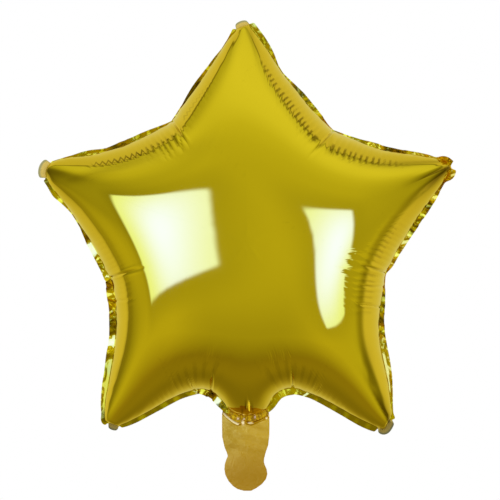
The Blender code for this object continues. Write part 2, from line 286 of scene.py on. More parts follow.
gathers = {
    # runs of fine folds: corner, start and end along the seam from it (clockwise, mm), height at both ends
    # (hundredths of a millimetre) and length inwards at both ends (mm)
    "runs": (
        ("upperLeftNotch", -88, -34, 20, 40, 24, 27),
        ("upperLeftNotch", -34, -4, 60, 84, 28, 40),
        ("upperLeftNotch", 5, 60, 16, 9, 24, 18),
        ("upperRightNotch", -96, -40, 30, 50, 24, 28),
        ("upperRightNotch", -40, -5, 50, 70, 28, 34),
        ("upperRightNotch", 6, 56, 66, 46, 30, 26),
        ("upperRightNotch", 56, 84, 36, 10, 24, 22),
        ("rightNotch", -60, -8, 16, 40, 26, 32),
        ("rightNotch", -6, 42, 36, 20, 48, 38),
        ("neckRightNotch", -62, -24, 10, 20, 20, 22),
        ("neckRightNotch", -22, 16, 26, 36, 38, 44),
        ("neckLeftNotch", -14, 22, 32, 28, 44, 48),
        ("neckLeftNotch", 22, 50, 14, 10, 24, 20),
        ("leftNotch", -40, -6, 10, 17, 20, 24),
        ("leftNotch", 6, 44, 18, 10, 26, 22),
    ),
    "spacing": 5.3 * mm,  # between two folds
    "jitter": 0.2,  # share by which that varies
    "width": 1.5 * mm,  # how fast a fold falls off to its sides
    "start": 3 * mm,  # inset by which it has risen in full
    "fanning": 9.0,  # how far the seam is softened (mm) for the ways that the folds run
    "creaseReach": 9 * mm,  # how far beside a crease the columns stay close together
    "thinning": 8 * mm,  # length over which they then thin out
    "seed": 11,
    # painted shade where the folds are pressed so tight that they show dark: corner, start and end along the
    # seam from it, then at both ends how dark, the inset where that begins, and where it stops; the last value is 1
    # for a zigzag
    "tight": (
        ("upperLeftNotch", -88, -34, 0.5, 0.7, 12.0, 13.4, 16.2, 18.4, 1),
        ("upperLeftNotch", -36, -4, 0.45, 0.5, 11.0, 12.0, 20.0, 27.0, 0),
        ("upperLeftNotch", 6, 62, 0.3, 0.0, 8.5, 9.0, 11.5, 11.0, 1),
        ("upperRightNotch", -94, -40, 0.48, 0.68, 12.2, 11.3, 17.5, 22.0, 0),
        ("upperRightNotch", -40, -4, 0.68, 0.62, 11.5, 16.4, 22.0, 24.0, 0),
        ("upperRightNotch", 3, 56, 0.62, 0.6, 13.8, 11.7, 24.0, 21.8, 0),
        ("upperRightNotch", 56, 76, 0.5, 0.0, 12.0, 12.0, 21.0, 19.0, 0),
        ("rightNotch", -46, -6, 0.15, 0.32, 13.0, 12.0, 22.0, 23.0, 0),
        ("rightNotch", -4, 42, 0.3, 0.1, 9.0, 9.0, 27.0, 24.0, 0),
        ("neckRightNotch", -20, 16, 0.15, 0.15, 8.0, 8.0, 30.0, 34.0, 0),
        ("neckLeftNotch", -12, 22, 0.15, 0.15, 8.0, 8.0, 34.0, 30.0, 0),
    ),
}

# creases pressed in at the notches and points: start and end from the star's centre, depth, and how wide the fall is
# to the left and to the right of the way from start to end, all in millimetres
creases = (
    (-75, 122, -57, 95, 2.0, 1.1, 1.6),
    (-69, 113, -63, 88, 0.8, 1.4, 1.2),
    (87, 113, 62, 86, 2.0, 1.4, 1.1),
    (83, 107, 78, 84, 0.8, 1.4, 1.2),
    (141, -30, 108, -20, 1.6, 1.3, 1.0),
    (138, -44, 100, -42, 0.9, 1.3, 1.2),
    (134, -64, 103, -60, 1.4, 0.9, 1.3),
    (-141, -36, -101, -24, 1.5, 1.3, 1.0),
    (-134, -58, -111, -56, 0.9, 1.1, 1.0),
    (-53, -145, -60, -127, 1.7, 1.2, 0.9),
    (-36, -147, -32, -116, 1.8, 1.0, 1.4),
    (46, -148, 43.5, -112, 1.9, 1.3, 0.9),
    (68, -147, 74, -135, 1.3, 1.0, 1.0),
    (1, -166, 1.5, -146, 1.3, 1.6, 1.4),
    (203, 77, 160, 57, 1.6, 2.4, 1.8),
    (202, 73, 158, 36, 0.7, 2.6, 2.6),
)

# painted shade in the film's colour where folds are deep enough to mirror only themselves: start and end from
# the star's centre, how dark, and how wide the dark is to the left and to the right of the way from start to end,
# all in millimetres; below zero it is a painted highlight, shown without metal
paintedFoldShade = (
    (143.5, -182, 112, -121, 0.96, 2.4, 7.0),
    (124, -142, 109, -90, 0.5, 2.4, 8.0),
    (193, 81.5, 96, 76, 0.34, 3.6, 2.4),
    (-203, 73, -172, 62, 0.45, 5.0, 6.0),
    (-176, 62, 0, 108, 0.3, 8.0, 9.0),
    (203.5, 76.5, 148, 54, 0.68, 3.6, 3.6),
    (203, 76, 168, 48, 0.88, 5.6, 5.2),
    (190, 64, 152, 30, 0.3, 6.0, 6.0),
    (-202, 75.5, -150, 60, 0.45, 3.0, 9.0),
    (-202, 71, -152, 24, 0.25, 7.0, 4.0),
    (3, 214, 13, 168, 0.2, 3.6, 1.6),
    (-13, 200, -22, 168, 0.15, 1.6, 3.4),
    (-72, 117, -58, 97, 0.5, 0.8, 0.8),
    (86, 111, 64, 88, 0.5, 0.9, 0.8),
    (82, 106, 77, 84, 0.2, 0.9, 0.9),
    (140, -30.5, 124, -25, 0.35, 1.1, 0.8),
    (-139, -36, -124, -29, 0.25, 0.9, 0.8),
    (-126, -117, -134, -148, 0.2, 2.4, 1.2),
    (-53, -145, -60, -127, 0.3, 0.8, 0.8),
    (-36, -147, -32, -116, 0.25, 0.8, 0.9),
    (46, -148, 43.5, -114, 0.55, 0.8, 0.8),
    (-1.5, -166, -0.5, -152, 0.75, 1.3, 1.3),
    (6, -169, 4.5, -155, 0.6, 1.3, 1.3),
    (-5, -172, -4, -160, 0.5, 1.6, 1.6),
    (2.4, -168, 1.6, -150, -1.0, 2.0, 1.8),
    (13, -171, 18, -160, 0.4, 1.0, 1.0),
)


def evenlyPacked():
    # column places: closer together where the film is gathered
    grain = 0.25 * mm
    fine = np.arange(0, seamTotal, grain)
    nearest = np.full(len(fine), seamTotal)
    for name, start, end, *_ in gathers["runs"]:
        middle = cornerPlace(name) + (start + end) / 2 * mm
        nearest = np.minimum(nearest, np.abs(roundGap(fine, middle)) - (end - start) / 2 * mm)
    for x, z, *_ in creases:
        nearest = np.minimum(nearest, np.abs(roundGap(fine, nearestPlace(x, z))) - gathers["creaseReach"])
    share = np.clip(nearest / gathers["thinning"], 0, 1)
    spacing = filmForm["fineSpacing"] + (filmForm["plainSpacing"] - filmForm["fineSpacing"]) * share
    filled = np.append(0, np.cumsum(grain / spacing))
    most = filmForm["steps"][-1]
    count = int(round(filled[-1] / most)) * most
    return np.interp(np.arange(count) * filled[-1] / count, filled, np.append(fine, seamTotal))


def foldTable(seed):
    # one row for each fine fold: place, height, length and width
    draw = np.random.default_rng(seed)
    rows = []
    for name, start, end, height0, height1, length0, length1 in gathers["runs"]:
        place = start + draw.uniform(0, 1)
        while place < end:
            share = (place - start) / (end - start)
            rows.append((
                cornerPlace(name) + place * mm,
                (height0 + (height1 - height0) * share) * draw.uniform(0.75, 1.2) * 0.01 * mm,
                (length0 + (length1 - length0) * share) * draw.uniform(0.88, 1.14) * mm,
                gathers["width"] * draw.uniform(0.85, 1.15),
            ))
            place += gathers["spacing"] / mm * draw.uniform(1 - gathers["jitter"], 1 + gathers["jitter"])
    return rows


def smoothStep(low, high, value):
    t = np.clip((value - low) / (high - low), 0, 1)
    return t * t * (3 - 2 * t)


def seamPlaces(points):
    # where on the seam each point of the film faces; the softened seam lets the folds fan out at the notches
    line = np.stack([softened(seam[:, k], gathers["fanning"], True) for k in (0, 1)], axis=1)
    tree = mathutils.kdtree.KDTree(len(line))
    for i, (x, z) in enumerate(line):
        tree.insert((x, z, 0), i)
    tree.balance()
    nearest = np.array([tree.find((x, z, 0))[1] for x, z in points])
    along = np.roll(line, -1, axis=0) - np.roll(line, 1, axis=0)
    lengths = np.linalg.norm(along, axis=1)
    shift = ((points - line[nearest]) * along[nearest]).sum(axis=1) / lengths[nearest] ** 2 * 2
    steps = np.append(seamLengths, seamTotal + seamLengths[1])
    return seamLengths[nearest] + shift * (steps[nearest + 1] - steps[nearest])


def gatherDepth(places, insets, seed):
    # how far the gathers press the film in at each point
    table = np.arange(0, seamTotal, 0.2 * mm)
    heights = np.zeros(len(table))
    lengths = np.full(len(table), 20 * mm)
    closest = np.full(len(table), 1.0)
    for place, height, length, width in foldTable(seed):
        gap = np.abs(roundGap(table, place))
        heights += height * np.exp((0.3 * mm - np.hypot(gap, 0.3 * mm)) / width)
        lengths = np.where(gap < closest, length, lengths)
        closest = np.minimum(gap, closest)
    places = np.mod(places, seamTotal)
    height = np.interp(places, table, heights, period=seamTotal)
    length = np.interp(places, table, lengths, period=seamTotal)
    return height * smoothStep(0, gathers["start"], insets) * (1 - smoothStep(0.65, 1.0, insets / length))


def tightFolds(places, insets, seed):
    # what the film's material needs to paint shade at the tight folds: count of folds passed, share of the way from
    # where the dark begins to where it stops, how dark, and whether it is a zigzag
    centres = np.sort(np.mod([row[0] for row in foldTable(seed)], seamTotal))
    places = np.mod(places, seamTotal)
    around = np.concatenate([centres[-1:] - seamTotal, centres, centres[:1] + seamTotal])
    passed = np.interp(places, around, np.arange(-1, len(centres) + 1))
    share, dark, zigzag = np.zeros((3, *places.shape))
    for name, start, end, dark0, dark1, from0, from1, to0, to1, bent in gathers["tight"]:
        along = roundGap(places, cornerPlace(name) + start * mm) / (end - start) / mm
        here = (along >= 0) & (along <= 1)
        low = (from0 + (from1 - from0) * along) * mm
        high = (to0 + (to1 - to0) * along) * mm
        edge = smoothStep(0, 0.06, along) * smoothStep(0, 0.06, 1 - along)
        share = np.where(here, (insets - low) / (high - low), share)
        dark = np.where(here, (dark0 + (dark1 - dark0) * along) * edge, dark)
        zigzag = np.where(here, bent, zigzag)
    return np.stack([passed, np.clip(share, -3, 4), dark, zigzag], axis=-1)


def alongStroke(points, stroke, mirrored):
    # share of the way from start to end, and how far off it in widths: positive to the left
    x0, z0, x1, z1, _, left, right = stroke
    side = -1 if mirrored else 1
    start = np.array([x0 * side, z0]) * mm
    along = np.array([x1 * side, z1]) * mm - start
    length = np.linalg.norm(along)
    gap = points - start
    run = gap @ along / length**2
    off = side * (gap @ np.array([-along[1], along[0]])) / length / mm
    return run, np.where(off > 0, off / left, -off / right), off > 0


def creaseDepth(points, mirrored):
    depth = np.zeros(points.shape[:-1])
    for crease in creases:
        run, off, _ = alongStroke(points, crease, mirrored)
        off = off * (1 + 0.5 * np.clip(1 - run, 0, 1))
        taper = smoothStep(-0.2, 0.15, run) * (1 - smoothStep(0.1, 1.1, run))
        depth += crease[4] * mm * taper * (np.exp(-off * 1.2) - 0.22 * np.exp(-(((off - 3.0) / 1.4) ** 2)))
    return depth


def foldShadeAt(points, mirrored):
    # painted shade of the folds, and painted highlights where a fold's value is below zero
    dark = np.zeros(points.shape[:-1])
    for fold in paintedFoldShade:
        run, off, _ = alongStroke(points, fold, mirrored)
        off = off / (0.45 + 0.75 * np.clip(run, 0, 1))
        taper = smoothStep(-0.06, 0.03, run) * (1 - smoothStep(0.25, 1.05, run))
        dark = 1 - (1 - dark) * (1 - fold[4] * taper * np.exp(-(off**2)))
    return dark


def gridNormals(grid, rings):
    around = np.roll(grid, -1, axis=1) - np.roll(grid, 1, axis=1)
    inwards = np.gradient(grid, rings, axis=0)
    normals = np.cross(around, inwards)
    return normals / np.maximum(np.linalg.norm(normals, axis=2, keepdims=True), 1e-12)


def swayOfSeam(places):
    turn = places / seamTotal * 2 * math.pi
    return 0.6 * np.sin(67 * turn + 0.4) + 0.45 * np.sin(109 * turn + 2.0) + 0.3 * np.sin(31 * turn)


def filmGrid():
    # rings from the front crown over the seam to the back crown, by columns
    places = evenlyPacked()
    line = sampled(seam, places)
    insets = np.array(filmForm["insets"]) * mm
    roots = np.sqrt(insets)
    rings = np.concatenate([-roots[::-1], [0.0], roots])
    allInsets = rings**2
    flat = line[None, :, :] * (1 - allInsets[:, None, None] / starShape["scaleReach"])
    height = dome.height(flat.reshape(-1, 2)).reshape(flat.shape[:2])
    height = np.maximum(height, np.minimum(filmForm["leastSlope"] * allInsets, filmForm["endPinch"])[:, None])
    height[len(insets)] = 0
    side = np.sign(rings)[:, None]
    sway = swayOfSeam(places)[None, :] * filmForm["waveHeight"] * np.exp(-allInsets[:, None] / filmForm["waveFade"])
    grid = np.stack([flat[:, :, 0], side * height + sway, flat[:, :, 1]], axis=2)
    normals = gridNormals(grid, rings)
    depth = np.zeros(height.shape)
    darkness = np.zeros(height.shape)
    tight = np.zeros((*height.shape, 4))
    frontRings = np.flatnonzero(rings < 0)
    facing = seamPlaces(flat[frontRings].reshape(-1, 2)).reshape(len(frontRings), -1)
    for isBack in (False, True):
        half = np.flatnonzero(rings > 0) if isBack else frontRings
        facing = facing[::-1] if isBack else facing
        insetsHere = np.repeat(allInsets[half][:, None], len(places), axis=1)
        depth[half] = gatherDepth(facing, insetsHere, gathers["seed"] + isBack) + creaseDepth(flat[half], isBack)
        tight[half] = tightFolds(facing, insetsHere, gathers["seed"] + isBack)
        darkness[half] = foldShadeAt(flat[half], isBack)
    grid = grid - normals * depth[:, :, None]
    return grid, gridNormals(grid, rings), darkness, tight


def zipRings(faces, outer, inner, outerColumns, innerColumns, total, flip):
    i = 0
    j = 0
    while i < len(outer) or j < len(inner):
        nextOuter = outerColumns[i + 1] if i + 1 < len(outer) else total
        nextInner = innerColumns[j + 1] if j + 1 < len(inner) else total
        a = outer[i % len(outer)]
        b = inner[j % len(inner)]
        if j >= len(inner) or (i < len(outer) and nextOuter <= nextInner):
            corner = outer[(i + 1) % len(outer)]
            i += 1
        else:
            corner = inner[(j + 1) % len(inner)]
            j += 1
        faces.append((a, corner, b) if flip else (a, b, corner))


def setAttribute(mesh, name, values):
    # one number for each point, or four
    values = np.asarray(values, np.float32)
    kind, key = ("FLOAT", "value") if values.ndim == 1 else ("FLOAT_COLOR", "color")
    mesh.attributes.new(name, kind, "POINT").data.foreach_set(key, values.ravel())


def addPiece(name, points, faces):
    mesh = bpy.data.meshes.new(name)
    mesh.from_pydata(points.tolist(), [], [tuple(map(int, face)) for face in faces])
    mesh.update()
    mesh.shade_smooth()
    piece = bpy.data.objects.new(name, mesh)
    bpy.context.collection.objects.link(piece)
    print("%s: %d points, %d faces" % (name, len(points), len(faces)))
    return piece


def buildFilm():
    grid, normals, darkness, tight = filmGrid()
    ringCount, total = grid.shape[:2]
    middle = ringCount // 2
    steps = [1 if ring == middle else filmForm["steps"][abs(ring - middle) - 1] for ring in range(ringCount)]
    columnsOf = [np.arange(0, total, step) for step in steps]
    starts = np.append(0, np.cumsum([len(columns) for columns in columnsOf]))
    pointsOf = [np.arange(starts[ring], starts[ring + 1]) for ring in range(ringCount)]

    def kept(values, crowns):
        # the values at the columns that the rings keep, then those of the front and the back crown
        return np.concatenate([values[ring, columns] for ring, columns in enumerate(columnsOf)] + [np.array(crowns)])

    faces = []
    for away in range(1, middle + 1):
        for direction in (-1, 1):
            rings = (middle + direction * (away - 1), middle + direction * away)
            outer, inner = (pointsOf[ring] for ring in rings)
            if len(outer) == len(inner):
                for i in range(len(outer)):
                    j = (i + 1) % len(outer)
                    quad = (outer[i], inner[i], inner[j], outer[j])
                    faces.append(quad if direction < 0 else quad[::-1])
            else:
                zipRings(faces, outer, inner, *(columnsOf[ring] for ring in rings), total, direction > 0)
    for direction, crown in ((-1, starts[-1]), (1, starts[-1] + 1)):
        last = pointsOf[middle + direction * middle]
        for i in range(len(last)):
            j = (i + 1) % len(last)
            faces.append((last[i], crown, last[j]) if direction < 0 else (last[j], crown, last[i]))
    height = filmForm["crownHeight"]
    points = kept(grid, [(0.0, -height, 0.0), (0.0, height, 0.0)]) + (0, 0, starShape["centreZ"])
    film = addPiece("filled_film", points, faces)
    film.data.normals_split_custom_set_from_vertices(kept(normals, [(0.0, -1.0, 0.0), (0.0, 1.0, 0.0)]).tolist())
    setAttribute(film.data, "darkness", kept(darkness, [0.0, 0.0]))
    setAttribute(film.data, "tight", kept(tight, np.zeros((2, 4))))
    return film


filmFinish = {
    "colour": (0.82, 0.625, 0.04),
    "cloudShade": 0.93,  # how much darker the cloudy places are
    # painted shade of the deep and the tight folds
    "foldColour": (0.11, 0.058, 0.0),
    # painted highlight at the neck, where the film is shown without metal
    "paintedGlintColour": (0.95, 0.66, 0.02),
    "edgeTint": (1.0, 1.0, 0.7, 1.0),  # of what is mirrored at a flat angle
    "roughness": 0.042,
    "strokeEdge": (0.18, 0.62),  # from the middle of a dark stroke, in halves of the gap between two folds
    "toothEdge": (0.12, 0.5),  # from the line of the zigzag, in its heights
}


def feed(node, values):
    # links sockets to a node's inputs, and sets plain values
    for key, value in values.items():
        if isinstance(value, Socket):
            value.tree.links.new(value.link, node.inputs[key])
        else:
            node.inputs[key].default_value = value


class Socket:
    # wraps a node's socket, so that maths on it reads as an expression; without one it stands for the tree alone
    def __init__(self, tree, link=None):
        self.tree = tree
        self.link = link

    def node(self, kind, settings=None, values=None, outputs=0):
        # any node: its type, its settings, what goes into its sockets, and which outputs are wanted
        node = self.tree.nodes.new(kind)
        for name, value in (settings or {}).items():
            if name == "stops":
                while len(node.color_ramp.elements) < len(value):
                    node.color_ramp.elements.new(0.5)
                for element, (place, colour) in zip(node.color_ramp.elements, value):
                    element.position = place
                    element.color = (*colour, 1.0)
            else:
                setattr(node, name, value)
        feed(node, values or {})
        if isinstance(outputs, tuple):
            return [Socket(self.tree, node.outputs[k]) for k in outputs]
        return Socket(self.tree, node.outputs[outputs]) if node.outputs else None

    def math(self, operation, *others):
        return self.node("ShaderNodeMath", {"operation": operation}, dict(enumerate((self, *others))))

    def __add__(self, other):
        return self.math("ADD", other)

    def __sub__(self, other):
        return self.math("SUBTRACT", other)

    def __rsub__(self, other):
        return self.node("ShaderNodeMath", {"operation": "SUBTRACT"}, {0: other, 1: self})

    def __mul__(self, other):
        return self.math("MULTIPLY", other)

    def __abs__(self):
        return self.math("ABSOLUTE")

    __radd__ = __add__
    __rmul__ = __mul__

    def step(self, low, high):
        # rises smoothly from 0 at low to 1 at high
        settings = {"interpolation_type": "SMOOTHSTEP"}
        return self.node("ShaderNodeMapRange", settings, {0: self, 1: low, 2: high, 3: 0.0, 4: 1.0})

    def blend(self, first, second):
        # the first colour where this share is 0, the second where it is 1
        first, second = (value if isinstance(value, Socket) else (*value, 1.0) for value in (first, second))
        return self.node("ShaderNodeMix", {"data_type": "RGBA"}, {0: self, 6: first, 7: second}, 2)


def newMaterial(name):
    material = bpy.data.materials.new(name)
    material.use_nodes = True
    return material, Socket(material.node_tree), material.node_tree.nodes["Principled BSDF"]


def noise(place, scale, detail, **more):
    # a noise texture at a place, with its roughness or distortion if it isn't the usual one
    values = {"Vector": place, "Scale": scale, "Detail": detail}
    values.update((name.capitalize(), value) for name, value in more.items())
    return place.node("ShaderNodeTexNoise", None, values)


def filmMaterial():
    material, tree, shader = newMaterial("gold_film")
    place = tree.node("ShaderNodeTexCoord", outputs=3)
    cloud = noise(place, 38.0, 4.0, roughness=0.55)
    grain = noise(place, 900.0, 2.0)
    cloudy = tuple(filmFinish["cloudShade"] * c for c in filmFinish["colour"])
    colour = ((cloud - 0.35) * 0.25).blend(filmFinish["colour"], cloudy)
    # painted shade in the deep folds, and a painted highlight without metal where the value is below zero
    dark = tree.node("ShaderNodeAttribute", {"attribute_name": "darkness"}, None, 2)
    glint = dark.step(-0.35, -0.8)
    colour = glint.blend(dark.blend(colour, filmFinish["foldColour"]), filmFinish["paintedGlintColour"])
    # painted shade at the tight folds: a dark stroke at each fold, or a zigzag line with one tooth for each
    tight, zigzag = tree.node("ShaderNodeAttribute", {"attribute_name": "tight"}, None, (0, 3))
    passed, share, amount = tree.node("ShaderNodeSeparateColor", None, {0: tight}, (0, 1, 2))
    off = abs((passed + 0.5).math("FRACT") - 0.5) * 2
    wander = (noise(place, 300.0, 2.0) - 0.5) * 0.4
    wavy = share + wander
    stroke = (1 - (off + wander).step(*filmFinish["strokeEdge"])) * wavy.step(-0.1, 0.25) * (1 - wavy.step(0.7, 1.15))
    low, high = filmFinish["toothEdge"]
    tooth = abs(share - off + wander * 0.4).step(low, high - off * 0.14)
    tooth = (1 - tooth) * share.step(-0.4, -0.1) * (1 - share.step(1.0, 1.3))
    stroke = stroke * (1 - zigzag) + tooth * zigzag
    feed(shader, {
        "Specular IOR Level": 0.0,
        "Specular Tint": filmFinish["edgeTint"],
        "Metallic": 1 - glint,
        "Base Color": (stroke * amount).blend(colour, filmFinish["foldColour"]),
        "Roughness": (cloud - 0.5) * 0.05 + (grain - 0.5) * 0.03 + filmFinish["roughness"],
    })
    return material


film = buildFilm()
film.data.materials.append(filmMaterial())
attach(film, "root")
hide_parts("star_balloon")

rimForm = {
    "thickness": 0.35 * mm,
    "sunk": 0.8 * mm,  # how far it reaches in under the film's edge
    "spacing": 0.7 * mm,  # between points along it
    "rows": 10,  # points across it
    "ruffle": 1.5 * mm,
    "ruffleShare": (0.12, 0.088),  # of the ruffle where nothing is crumpled, and more for each grade of crumple
    "ruffleLength": 26 * mm,
    "crumple": 1.4 * mm,  # greatest height
    "crumpleSpacing": 4.4 * mm,
    # where the rim leans forward and mirrors the bag, or back: middle and half length from a corner (mm), degrees
    "leans": {
        "topPoint": ((26, 26, 18),),
        "upperRightNotch": ((-8, 9, 45), (62, 14, 38)),
        "rightPoint": ((-14, 9, 36), (2, 7, 28), (16, 8, 34), (40, 6, 16), (58, 5, 24)),
        "rightNotch": ((8, 8, 30), (46, 6, 24), (86, 16, -14)),
        "lowerRightPoint": ((48, 52, -30),),
        "neckLeftNotch": ((50, 46, -30), (-14, 4, 40)),
        "lowerLeftPoint": ((40, 28, -18),),
        "leftNotch": ((33, 9, -16), (52, 8, 24), (-30, 8, 20), (-4, 6, 26)),
        "leftPoint": ((42, 18, 17), (77, 14, 34), (114, 22, 18)),
        "upperLeftNotch": ((36, 22, 38), (84, 26, 32)),
    },
    # patches of painted reflection and shade on the rim: middle and half length from a corner (mm), share and colour
    "paintedReflections": {
        "topPoint": ((26, 24, 0.75, "olive"), (94, 14, 0.85, "black")),
        "upperRightNotch": ((2, 4, 0.8, "black"), (30, 8, 0.6, "olive"), (64, 10, 0.7, "black")),
        "rightTip": (
            (-34, 12, 0.5, "orange"), (0, 18, 0.8, "orange"), (22, 5, 0.6, "black"), (34, 8, 0.7, "orange"),
            (48, 4, 0.6, "black"), (88, 10, 0.9, "streak"), (114, 12, 0.8, "orange"),
        ),
        "rightNotch": (
            (12, 10, 0.7, "orange"), (40, 5, 0.7, "black"), (62, 4, 0.6, "orange"), (98, 28, 0.95, "streak"),
        ),
        "lowerRightPoint": ((48, 48, 0.7, "olive"),),
        "neckRightNotch": ((-13, 3, 0.5, "pale"),),
        "neckLeftNotch": (
            (50, 44, 0.75, "olive"), (-12, 3, 0.7, "black"), (-22, 7, 0.9, "pale"), (-31, 4, 0.85, "black"),
            (3, 4, 0.7, "pale"),
        ),
        "lowerLeftPoint": ((14, 10, 0.9, "black"), (48, 26, 0.95, "yellow"), (90, 6, 0.8, "pale")),
        "leftNotch": (
            (-90, 10, 0.5, "olive"), (-66, 5, 0.8, "pale"), (-40, 5, 0.7, "black"), (-34, 3, 0.7, "pale"),
            (-14, 12, 0.4, "orange"), (3, 4, 0.7, "pale"), (14, 6, 0.5, "olive"), (35, 9, 0.9, "pale"),
            (55, 9, 0.9, "black"),
        ),
        "leftPoint": ((-16, 8, 0.9, "black"), (44, 18, 0.6, "olive"), (76, 12, 0.85, "black"), (106, 18, 0.6, "olive")),
        "upperLeftNotch": ((38, 16, 0.9, "black"), (74, 16, 0.6, "olive")),
    },
    # flat facets that mirror the softbox of their side: middle and half length from a corner (mm)
    "glints": {
        "rightPoint": ((31, 2.5), (42, 3), (52, 2), (74, 4), (86, 4), (100, 3)),
        "rightNotch": ((26, 4), (98, 26)),
        "lowerRightPoint": ((88, 3),),
        "neckLeftNotch": ((-22, 5), (-4, 3)),
        "lowerLeftPoint": ((48, 26), (90, 5)),
        "leftNotch": ((35, 8),),
    },
    # how steeply a facet falls back towards the right and upwards, on the star's left and right
    "leftTilt": (-0.23, 0.02),
    "rightTilt": (0.28, -0.03),
    "longGlint": 10,  # half length (mm) from which a facet keeps clear of the rim's outer edge
    # clear tabs at the blunt ends: corner, middle and half length from it (mm), width (mm), how bright
    "tabs": (
        ("topPoint", -1.2, 6, 5.6, 1.0), ("leftPoint", 1, 7.5, 7.6, 1.0),
        ("lowerLeftPoint", -1, 5, 5.5, 0.42), ("lowerRightPoint", 1.5, 8, 5.6, 0.42),
    ),
    # painted shade and light of the crumples: the foil from the deepest crumples to the highest, and the tones at
    # which each colour stands
    "crumpleShadeColours": ((0.24, 0.18, 0.002), (0.54, 0.40, 0.003), (0.8, 0.59, 0.004), (0.88, 0.66, 0.01)),
    "crumpleShadeTones": (0, 0.4, 0.65, 1),
    "tone": (0.56, 0.9),  # where the rim is level, and how much a full crumple changes it
    # colours of the painted reflections and shade on the rim
    "reflectionColours": {
        "black": (0.1, 0.09, 0.004), "olive": (0.48, 0.46, 0.02), "orange": (0.9, 0.55, 0.015),
        "pale": (0.86, 0.70, 0.04), "streak": (0.76, 0.54, 0.016), "yellow": (0.64, 0.46, 0.005),
    },
    "grainColour": (0.45, 0.32, 0.002),
    "tabColour": (0.74, 0.56, 0.14),
    "tabEdge": (0.40, 0.38, 0.17),
    "sharpAngle": 50,
    "pinched": ("rightTip", 0, 1.8),  # where the rim all but ends: corner, middle and half length (mm)
    # of a crumple: most slant, share of the depth, width (mm), and how far along the rim it can reach
    "slant": 1.1,
    "depths": (0.4, 1.0),
    "roofs": (1.7, 4.2),
    "roofReach": 12 * mm,
    "seed": 5,
}


def seamValue(places, column):
    return np.interp(np.mod(places, seamTotal), seamLengths[:-1], seamTable[:, column], period=seamTotal)


def crumpleHeights(places, across):
    # folds that cross the rim at a slant, each a small roof or valley
    draw = np.random.default_rng(rimForm["seed"])
    heights = np.zeros((len(across), len(places)))
    place = 0.0
    while place < seamTotal:
        slant = draw.uniform(-rimForm["slant"], rimForm["slant"])
        depth = rimForm["crumple"] * draw.uniform(*rimForm["depths"]) * draw.choice((-1, 1))
        level = float(seamValue(np.array([place]), 3)[0])
        width = draw.uniform(*rimForm["roofs"]) * mm * (1 + 1.6 * max(0, 1 - level / 5))
        depth *= level / 10
        gap = roundGap(places, place)
        near = np.abs(gap) < rimForm["roofReach"]
        off = np.abs(gap[near][None, :] - slant * (across[:, None] - 0.5) * 6 * mm) / width
        heights[:, near] += depth * np.maximum(0, 1 - off)
        place += rimForm["crumpleSpacing"] * draw.uniform(0.5, 1.5) * (1 + 1.2 * max(0, 1 - level / 5))
    return heights


def rimRows(table):
    # the rows of one of the rim's tables, each with its corner before it
    return [(corner, *row) for corner, rows in rimForm[table].items() for row in rows]


def nearRim(places, corner, middle, half):
    gap = np.abs(roundGap(places, cornerPlace(corner) + middle * mm)) / (half * mm)
    return 1 - smoothStep(0.6, 1.25, gap)


def slanted(places, across, spot):
    # the places as a patch or facet sees them that crosses the rim at a slant of its own
    return places[None, :] + across[:, None] * math.sin(spot[1] * 1.7) * 5 * mm


